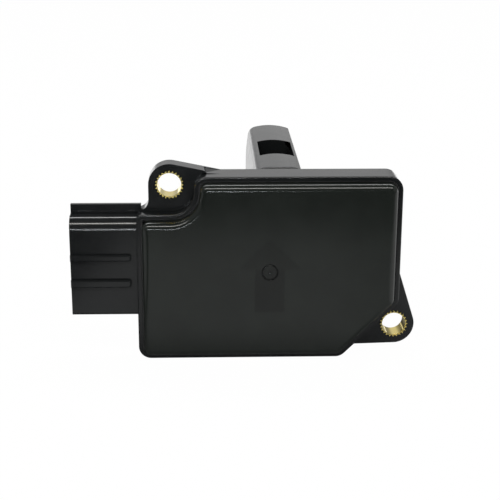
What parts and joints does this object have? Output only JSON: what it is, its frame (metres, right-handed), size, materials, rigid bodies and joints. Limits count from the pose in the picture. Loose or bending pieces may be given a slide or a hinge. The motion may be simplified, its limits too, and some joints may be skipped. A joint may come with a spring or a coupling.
{
  "type": "mass airflow sensor",
  "caption": "Plug-in mass airflow sensor: flat black housing with screw ears, glued lid, side connector socket and a flat probe with a through air passage.",
  "frame": {"origin": "on the seating face that meets the air duct, midway between the two screw holes", "axes": "+Y into the duct along the probe, so the lid faces -Y; +Z downstream, the way the air flows through the probe's passage; +X away from the connector"},
  "size_m": [0.0951, 0.0765, 0.0545],
  "materials": {
    "housing_plastic": "moulded black polyester, semi-gloss",
    "lid_plastic": "moulded black polyester, fine satin grain",
    "sealant": "cured silicone adhesive",
    "brass": "bright turned brass",
    "seal_rubber": "smooth moulded rubber",
    "tinned_contact": "tin-plated copper alloy, satin",
    "nickel_pin": "nickel-plated, satin",
    "bond_aluminium": "bright aluminium ribbon",
    "plate_aluminium": "rolled aluminium, satin",
    "board_ceramic": "white sintered ceramic, matt",
    "chip_epoxy": "black moulding epoxy, matt",
    "capacitor_ceramic": "brown ceramic, matt",
    "element_glaze": "glazed ceramic core, satin",
    "thermistor_glass": "amber glass bead"
  },
  "bodies": {
    "root": {"air_temperature_thermistor": "thermistor_glass", "base_plate": "plate_aluminium", "bushing_lower": "brass", "bushing_upper": "brass", "capacitor_1": "capacitor_ceramic", "capacitor_2": "capacitor_ceramic", "capacitor_3": "capacitor_ceramic", "capacitor_4": "capacitor_ceramic", "capacitor_5": "capacitor_ceramic", "circuit_board": "board_ceramic", "cold_wire_element": "element_glaze", "control_chip": "chip_epoxy", "element_pin_1": "nickel_pin", "element_pin_2": "nickel_pin", "element_pin_3": "nickel_pin", "element_pin_4": "nickel_pin", "element_pin_5": "nickel_pin", "element_pin_6": "nickel_pin", "hot_wire_element": "element_glaze", "housing": "housing_plastic", "lid": "lid_plastic", "lid_sealant": "sealant", "passage_cover": "housing_plastic", "pin_bond_1": "bond_aluminium", "pin_bond_2": "bond_aluminium", "pin_bond_3": "bond_aluminium", "pin_bond_4": "bond_aluminium", "pin_bond_5": "bond_aluminium", "pin_bond_6": "bond_aluminium", "power_transistor": "chip_epoxy", "spigot_seal": "seal_rubber", "terminal_1": "tinned_contact", "terminal_2": "tinned_contact", "terminal_3": "tinned_contact", "terminal_4": "tinned_contact", "terminal_5": "tinned_contact", "terminal_bond_1": "bond_aluminium", "terminal_bond_2": "bond_aluminium", "terminal_bond_3": "bond_aluminium", "terminal_bond_4": "bond_aluminium", "terminal_bond_5": "bond_aluminium", "voltage_regulator": "chip_epoxy"}
  },
  "joints": []
}
